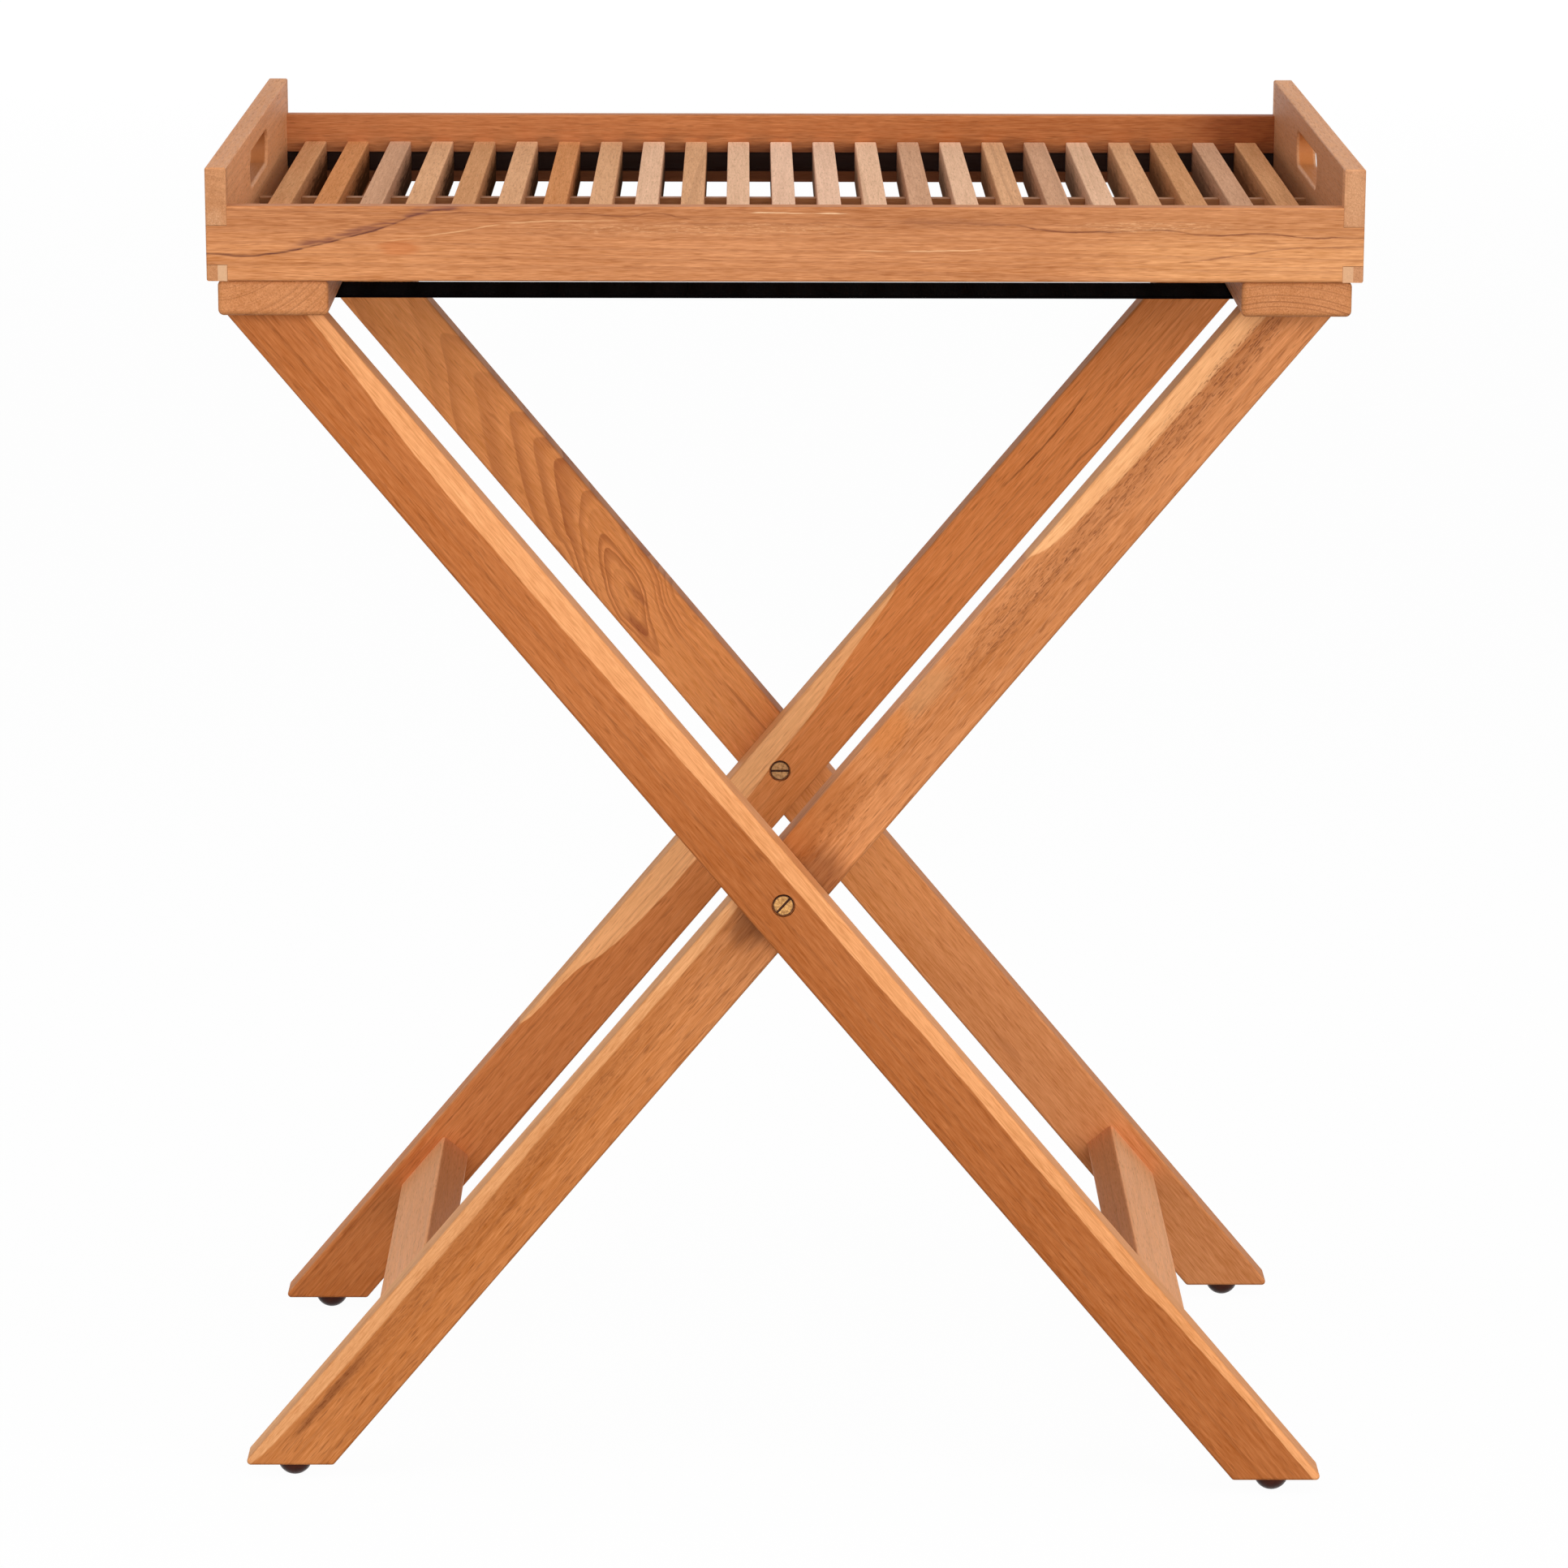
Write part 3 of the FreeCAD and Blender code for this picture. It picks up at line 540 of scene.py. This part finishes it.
outerLegBack = {
    **legBase, "turn": (0, legLean, 0), "centre": (0, outerLegs, pivotLevel), "seed": 32, "faces": (brownTopLight,),
    "tone": (222, 141, 80), "dark": (148, 72, 36), "contrast": 18, "clouds": 0.8,
    # painted light: the upper part, in the tray's shade, is paler than the lower part
    "fade": {"tone": (200, 127, 76), "points": ((-0.45, 0.0), (-0.1, 0.0), (0.08, 0.3), (0.2, 0.85), (0.45, 1.0))},
    "arches": {"blunt": 0.004,
               "axis": ((-0.45, 0.012), (-0.31, 0.012), (-0.25, 0.0135), (-0.205, 0.0155), (-0.185, 0.0115),
                        (-0.1775, 0.009), (-0.1625, 0.003), (-0.137, -0.004), (-0.11, -0.011), (-0.07, -0.016),
                        (0.0, -0.018), (0.45, -0.018)),
               "years": ((-0.45, 13.4), (-0.39, 12.0), (-0.345, 11.0), (-0.312, 10.0), (-0.288, 9.0), (-0.263, 8.0),
                         (-0.238, 7.0), (-0.2155, 6.0), (-0.196, 5.0), (-0.185, 4.0), (-0.1775, 3.3), (-0.163, 2.0),
                         (-0.15, 0.9), (-0.137, 0.1), (-0.124, 0.9), (-0.112, 2.0), (-0.08, 3.4), (-0.03, 4.4),
                         (0.45, 6.0)),
               "narrow": ((-0.45, 70), (-0.24, 70), (-0.21, 80), (-0.198, 90), (-0.183, 160), (-0.17, 230),
                          (-0.155, 300), (-0.137, 350), (-0.11, 300), (-0.07, 160), (0.0, 90), (0.45, 90))},
    "ringGap": 1.0, "ringWave": 0.7, "ringStart": 0.2,
    "ringDepth": ((-0.45, 0.3), (-0.28, 0.45), (-0.2, 0.7), (-0.12, 0.68), (-0.09, 0.3), (-0.03, 0.2), (0.04, 0.08),
                  (0.45, 0.05)),
    "stainsAndShade": ({"place": (-0.117, legFace, -0.012), "spread": (0.016, 0.01, 0.0036), "depth": 0.75, "flecks": 0.3,
                "colour": (138, 66, 38)},
               {"place": (-0.132, legFace, 0.0), "spread": (0.013, 0.01, 0.0028), "depth": 0.7, "flecks": 0.3,
                "colour": (140, 70, 40)},
               {"place": (-0.04, legFace, 0.006), "spread": (0.03, 0.01, 0.0012), "depth": 0.5,
                "colour": (150, 80, 44)},
               {"place": (0.223, legFace, -0.008), "spread": (0.02, 0.01, 0.004), "depth": 0.3,
                "colour": (160, 92, 52)}),
}
dressWood("outer_leg_back", outerLegBack)
innerLegFront = {
    **legBase, "turn": (0, -legLean, 0), "centre": (0, -innerLegs, pivotLevel), "seed": 33,
    "faces": ({**legTopLight, "colour": (228, 158, 108)},),
    "tone": (202, 129, 76), "dark": (108, 54, 28), "clouds": 1.1, "pores": 0.4,
    "fade": {"tone": (192, 117, 60), "points": ((-0.45, 1.0), (-0.15, 0.9), (0.0, 0.2), (0.45, 0.0))},
    "ringCentre": (0.1, 0.04, -0.09), "ringGap": 0.0055, "ringDepth": 0.25,
    "sapSoft": 0.0012, "sapTone": (240, 172, 116),
    "sap": ((-0.44, 0.003), (-0.40, 0.0062), (-0.36, 0.0071), (-0.27, 0.0073), (-0.21, 0.0063), (-0.12, 0.0057),
            (-0.06, 0.006), (-0.01, 0.004), (0.03, -0.004), (0.20, -0.004), (0.225, 0.0), (0.24, 0.0055),
            (0.27, 0.0087), (0.30, 0.0103), (0.34, 0.0114), (0.42, 0.0119)),
    # the first two are painted shade where the outer front leg crosses this leg
    "stainsAndShade": ({"place": (0.020, legFace, -0.006), "spread": (0.024, 0.02, 0.03), "depth": 0.6,
                "colour": (104, 54, 24)},
               {"place": (-0.024, legFace, 0.002), "spread": (0.02, 0.02, 0.016), "depth": 0.6,
                "colour": (96, 48, 22)},
               {"place": (-0.28, legFace, 0.0165), "spread": (0.34, 0.02, 0.013), "depth": 0.5, "flecks": 0.3,
                "colour": (186, 116, 64)},
               {"place": (-0.378, legFace, 0.0080), "spread": (0.052, 0.01, 0.0034), "depth": 0.8, "flecks": 0.35,
                "colour": (104, 54, 30)},
               {"place": (0.34, legFace, 0.003), "spread": (0.17, 0.02, 0.011), "depth": 0.8, "flecks": 0.75,
                "colour": (126, 70, 40)},
               {"place": (0.20, legFace, 0.006), "spread": (0.08, 0.02, 0.013), "depth": 0.65, "flecks": 0.85,
                "colour": (128, 72, 40)},
               {"place": (-0.24, legFace, 0.007), "spread": (0.24, 0.02, 0.008), "depth": 0.5, "flecks": 0.7,
                "colour": (136, 72, 32)},
               {"place": (0.12, legFace, 0.012), "spread": (0.035, 0.02, 0.012), "depth": 0.4, "flecks": 1.0,
                "colour": (120, 66, 34)},
               {"place": (0.136, legFace, 0.013), "spread": (0.026, 0.02, 0.009), "depth": 0.45,
                "colour": (198, 142, 94)},
               {"place": (0.105, legFace, 0.014), "spread": (0.022, 0.02, 0.010), "depth": 0.45,
                "colour": (206, 124, 60)},
               {"place": (0.04, legFace, 0.012), "spread": (0.055, 0.02, 0.016), "depth": 0.55,
                "colour": (164, 90, 36)},
               {"place": (0.055, legFace, 0.004), "spread": (0.06, 0.02, 0.012), "depth": 0.4, "flecks": 1.0,
                "colour": (120, 64, 28)}),
}
dressWood("inner_leg_front", innerLegFront)
innerLegBack = {
    **legBase, "turn": (0, -legLean, 0), "centre": (0, innerLegs, pivotLevel), "seed": 34, "faces": (brownTopLight,),
    "tone": (212, 126, 66), "dark": (112, 52, 22), "contrast": 20, "pores": 0.3, "fibre": 0.8,
    "fade": {"tone": (190, 110, 56),
             "points": ((-0.45, 1.0), (-0.15, 0.9), (0.05, 0.1), (0.25, 0.0), (0.36, 0.7), (0.45, 1.0))},
    "ringCentre": (0, 0.05, -0.07), "ringTurn": (0, 1.5, 0), "ringGap": 0.004, "ringDepth": 0.4, "ringStart": 0.5,
    "sapTone": (236, 166, 108), "sapDark": (176, 100, 54),
    "lines": ({"points": ((0.207, 0.0101), (0.231, 0.0082), (0.2475, 0.007), (0.27, 0.0073), (0.2987, 0.0135)),
               "width": 0.0007, "fade": 0.0012, "taper": 0.025, "wobble": 0.002, "depth": 0.95,
               "colour": (104, 48, 20)},
              {"points": ((0.2314, -0.0144), (0.2497, -0.0138), (0.278, -0.0158), (0.307, -0.0095)),
               "width": 0.0007, "fade": 0.0012, "taper": 0.025, "wobble": 0.002, "depth": 0.7,
               "colour": (116, 56, 26)}),
    "sap": ((-0.44, -0.004), (-0.24, -0.003), (-0.21, 0.0025), (-0.18, 0.0038), (-0.15, 0.0112), (-0.12, 0.0143),
            (-0.09, 0.0157), (-0.04, 0.0156), (0.0, 0.0135), (0.03, 0.0122), (0.06, 0.0087), (0.09, 0.005),
            (0.12, 0.0026), (0.15, -0.002), (0.42, -0.004)),
}
dressWood("inner_leg_back", innerLegBack)

# stand rails and stretchers: grain across the stand, end grain at the front
railLook = {"turn": (0, 0, 90), "tone": (196, 128, 78), "dark": (128, 72, 38), "contrast": 20, "ringGap": 0.0023,
            "ringDepth": 0.55, "ringWave": 0.0014, "ringStart": 0.45}
dressWood("outer_top_rail", {**railLook, "seed": 51, "ringCentre": (0, 0.032, 0.055)})
dressWood("inner_top_rail", {**railLook, "seed": 52, "tone": (191, 124, 75), "dark": (118, 64, 32), "ringDepth": 0.75,
                             "ringCentre": (0, 0.009, -0.1)})
# painted light and shade: the wide upper faces are pale and the narrow sides darker
stretcherSideShade = {"reach": (0.2, 0.0008, 0.02), "soft": 0.0004, "depth": 0.7, "colour": (182, 108, 62)}
stretcherLook = {"half": (0.17, 0.02075, 0.00975), "tone": (242, 170, 117), "dark": (156, 96, 58), "contrast": 13,
                 "ringDepth": 0.25, "gloss": 0.06,
                 "faces": ({**stretcherSideShade, "place": (0, 0.021, 0)}, {**stretcherSideShade, "place": (0, -0.021, 0)})}
dressWood("outer_stretcher", {**stretcherLook, "turn": (legLean, 0, 90), "seed": 53})
dressWood("inner_stretcher", {**stretcherLook, "turn": (-legLean, 0, 90), "seed": 54})
print("stand wood dressed")

# metal and plastic fittings

metalBase = {"bump": 0.15, "bumpDepth": 0.0002, "sunk": (0.0001, 0.0006)}


def dressMetal(node, look):
    look = {**metalBase, **look}
    material, tree, shader = startMaterial(node + "_metal")
    low, high = (Vector(corner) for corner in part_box(node))
    local = ownAxes(tree, (low + high) / 2, radians(look["turn"]))
    worn = place(tree, "ShaderNodeGroup", {"Local": local, "Spread": look["spread"]}, node_tree=tarnish)
    colour = tint(tree, worn.outputs["Film"], paint(*look["bright"]), paint(*look["film"]))
    colour = tint(tree, sums(tree, "MULTIPLY", worn.outputs["Scratch"], look["scratch"]), colour, paint(*look["shine"]))
    if "shadeColour" in look:  # painted shade: the bottom of the slot and the rim are dark
        across, depth, upright = axes(tree, local)
        sunk = sums(tree, "SUBTRACT", (high.y - low.y) / 2, sums(tree, "ABSOLUTE", depth))
        outwards = sums(tree, "MULTIPLY_ADD", across, across, sums(tree, "MULTIPLY", upright, upright))
        outwards = sums(tree, "POWER", outwards, 0.5)
        rimAndSlotShade = sums(tree, "MAXIMUM", rise(tree, sunk, *look["sunk"]), rise(tree, outwards, *look["rim"]))
        colour = tint(tree, rimAndSlotShade, colour, paint(*look["shadeColour"]))
    tree.links.new(colour, shader.inputs["Base Color"])
    tree.links.new(rise(tree, worn.outputs["Film"], 0.0, 1.0, *look["rough"]), shader.inputs["Roughness"])
    relief(tree, shader, worn.outputs["Scratch"], look["bump"], look["bumpDepth"])
    shader.inputs["Metallic"].default_value = look["metal"]
    shader.inputs["Specular IOR Level"].default_value = look["gloss"]
    coat(node, material)


brassLook = {"turn": (0, 25, 0), "spread": (520, 520, 520), "bright": (180, 132, 76), "film": (122, 80, 42),
             "shine": (200, 156, 98), "scratch": 0.4, "rough": (0.42, 0.6), "metal": 0.75, "gloss": 0.4,
             # painted shade in the slot and around the rim of the head
             "shadeColour": (56, 27, 12), "rim": (0.0046, 0.0054)}
for node in ("pivot_bolt_front", "pivot_bolt_back"):
    dressMetal(node, brassLook)
nutLook = {**brassLook, "bright": (166, 120, 76), "film": (116, 78, 46), "shine": (186, 142, 94)}
for node in ("pivot_nut_front", "pivot_nut_back"):
    dressMetal(node, nutLook)
washerLook = {name: value for name, value in brassLook.items() if name not in ("shadeColour", "rim")}
for node in ("pivot_washer_front", "pivot_washer_back"):
    dressMetal(node, washerLook)
screwLook = {"turn": (0, 0, 40), "spread": (500, 500, 500), "bright": (196, 194, 188), "film": (140, 136, 128),
             "shine": (226, 224, 220), "scratch": 0.5, "rough": (0.26, 0.45), "metal": 1.0, "gloss": 0.5}
for side in ("front", "back"):
    for body in ("outer", "inner"):
        dressMetal(body + "_strap_screws_" + side, screwLook)
glideLook = {"turn": (0, 0, 15), "spread": (160, 160, 160), "bright": (70, 30, 18), "film": (54, 22, 14),
             "shine": (70, 36, 26), "scratch": 0.2, "rough": (0.12, 0.2), "metal": 0.0, "gloss": 0.08}
for body in ("outer", "inner"):
    for side in ("front", "back"):
        dressMetal(body + "_foot_" + side, glideLook)
print("fittings dressed")

# webbing straps: ribbed black bands, held under both stand rails
webbing = {"cord": (5, 2, 3), "gap": (1, 0, 0), "worn": (9, 4, 5), "ribs": 21, "picks": 420, "lengths": 90,
           "ribDepth": 0.00016, "rounded": 0.0004, "roundSteps": 2, "roundAngle": 60, "smoothAngle": 50,
           "fluff": (900, 2600, 900), "rough": (0.66, 0.86), "gloss": 0.02, "bump": 0.5, "bumpDepth": 0.0003}


def weaveMaterial(look):
    material, tree, shader = startMaterial("black_webbing")
    woven = axes(tree, place(tree, "ShaderNodeTexCoord").outputs["UV"])
    lengthwise, across = woven["X"], woven["Y"]
    rib = sums(tree, "MULTIPLY", across, look["ribs"] * 2 * math.pi)
    rib = rise(tree, sums(tree, "SINE", rib), -1.0, 1.0)
    offset = sums(tree, "MULTIPLY", sums(tree, "FLOOR", sums(tree, "MULTIPLY", across, look["ribs"] * 2.0)), math.pi)
    pick = sums(tree, "MULTIPLY_ADD", lengthwise, look["picks"] * 2 * math.pi, offset)
    pick = rise(tree, sums(tree, "SINE", pick), -1.0, 1.0)
    coords = place(tree, "ShaderNodeTexCoord").outputs["Object"]
    fluff = streaks(tree, coords, look["fluff"], 3.0, 0.6)
    thread = sums(tree, "MULTIPLY", rise(tree, rib, 0.0, 0.6, 0.35, 1.0), rise(tree, pick, 0.0, 1.0, 0.45, 1.0))
    colour = tint(tree, thread, paint(*look["gap"]), paint(*look["cord"]))
    colour = tint(tree, rise(tree, fluff, 0.5, 0.8, 0.0, 0.5), colour, paint(*look["worn"]))
    tree.links.new(colour, shader.inputs["Base Color"])
    tree.links.new(rise(tree, fluff, 0.2, 0.8, *look["rough"]), shader.inputs["Roughness"])
    relief(tree, shader, thread, look["bump"], look["bumpDepth"])
    shader.inputs["Specular IOR Level"].default_value = look["gloss"]
    return material


def selectVertices(piece, wanted):
    bpy.ops.object.mode_set(mode="EDIT")
    bpy.ops.mesh.select_mode(type="VERT")
    bpy.ops.mesh.select_all(action="DESELECT")
    bpy.ops.object.mode_set(mode="OBJECT")
    for vertex in piece.data.vertices:
        vertex.select = wanted(vertex.co)
    bpy.ops.object.mode_set(mode="EDIT")


webbingMaterial = weaveMaterial(webbing)
for side in ("front", "back"):
    low, high = (Vector(corner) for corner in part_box("strap_" + side))
    middle, size = (low + high) / 2, high - low
    bpy.ops.object.select_all(action="DESELECT")
    bpy.ops.mesh.primitive_grid_add(x_subdivisions=webbing["lengths"], y_subdivisions=webbing["ribs"] * 2, size=1,
                                    location=(middle.x, middle.y, low.z + webbing["ribDepth"]))
    strap = bpy.context.object
    strap.name = "webbing_" + side
    strap.scale = (size.x, size.y, 1)
    bpy.ops.object.transform_apply(location=True, rotation=True, scale=True)
    step = size.y / (webbing["ribs"] * 2)
    selectVertices(strap, lambda spot: round((spot.y - low.y) / step) % 2 == 0)
    bpy.ops.transform.translate(value=(0, 0, -webbing["ribDepth"]))
    bpy.ops.object.mode_set(mode="OBJECT")
    thick = strap.modifiers.new("thickness", "SOLIDIFY")
    thick.thickness = size.z - webbing["ribDepth"]
    thick.offset = 1.0
    bpy.ops.object.modifier_apply(modifier="thickness")
    soft = strap.modifiers.new("soft edge", "BEVEL")
    soft.width = webbing["rounded"]
    soft.segments = webbing["roundSteps"]
    soft.angle_limit = math.radians(webbing["roundAngle"])
    bpy.ops.object.modifier_apply(modifier="soft edge")
    bpy.ops.object.shade_smooth_by_angle(angle=math.radians(webbing["smoothAngle"]))
    strap.data.materials.clear()
    strap.data.materials.append(webbingMaterial)
    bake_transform(strap)
    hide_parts("strap_" + side)
print("straps made")

# white studio: floor keeps a faint shadow, background shows white
studio = {"floorSize": 40, "floorSeen": 0.95, "floorBounce": 0.15, "floorRough": 0.9, "floorGloss": 0.1,
          "shadowKept": 0.03, "ambient": 0.12, "aim": (0, 0, 0.42),
          "lamps": (("frontSoftbox", (0.5, -8.6, 1.7), (5.6, 4.0), 582),
                    ("rightSoftbox", (2.8, -1.8, 1.5), (1.6, 1.8), 36),
                    ("leftSoftbox", (-2.8, -1.4, 1.3), (1.6, 1.8), 26),
                    ("backSoftbox", (0.0, 8.6, 1.6), (6.0, 3.8), 345),
                    ("topSoftbox", (0.0, -0.5, 2.9), (4.4, 2.2), 48))}
bpy.ops.object.select_all(action="DESELECT")
bpy.ops.mesh.primitive_plane_add(size=studio["floorSize"], location=(0, 0, 0))
floor = bpy.context.object
floor.name = "floor"
paper, tree, shader = startMaterial("white_paper")
shader.inputs["Roughness"].default_value = studio["floorRough"]
shader.inputs["Specular IOR Level"].default_value = studio["floorGloss"]


def seenRays(tree):
    path = place(tree, "ShaderNodeLightPath").outputs
    seen = sums(tree, "MAXIMUM", path["Is Camera Ray"], path["Is Glossy Ray"])
    return sums(tree, "MAXIMUM", seen, path["Is Transmission Ray"])


seen = seenRays(tree)
white = [[studio[name]] * 3 + [1.0] for name in ("floorBounce", "floorSeen")]
tree.links.new(tint(tree, seen, *white), shader.inputs["Base Color"])
glow = place(tree, "ShaderNodeEmission", {"Color": (1, 1, 1, 1), "Strength": 1.0})
share = sums(tree, "MULTIPLY", seen, 1 - studio["shadowKept"])
mixed = place(tree, "ShaderNodeMixShader", {0: share, 1: shader.outputs[0], 2: glow.outputs[0]})
tree.links.new(mixed.outputs[0], tree.nodes["Material Output"].inputs["Surface"])
floor.data.materials.append(paper)

world = bpy.data.worlds.new("studio")
world.use_nodes = True
bpy.context.scene.world = world
tree = world.node_tree
sky = tree.nodes["Background"]
sky.inputs["Color"].default_value = (1, 1, 1, 1)
tree.links.new(rise(tree, seenRays(tree), 0.0, 1.0, studio["ambient"], 1.0), sky.inputs["Strength"])
for name, spot, size, power in studio["lamps"]:
    lamp = bpy.data.lights.new(name, "AREA")
    lamp.shape = "RECTANGLE"
    lamp.size, lamp.size_y = size
    lamp.energy = power
    holder = bpy.data.objects.new(name, lamp)
    bpy.context.collection.objects.link(holder)
    holder.visible_glossy = name != "backSoftbox"  # it only fills the back, without a sheen on the upper edges
    holder.location = spot
    holder.rotation_euler = (Vector(studio["aim"]) - Vector(spot)).to_track_quat("-Z", "Y").to_euler()
bpy.context.scene.view_settings.view_transform = "Standard"
print("studio lit")
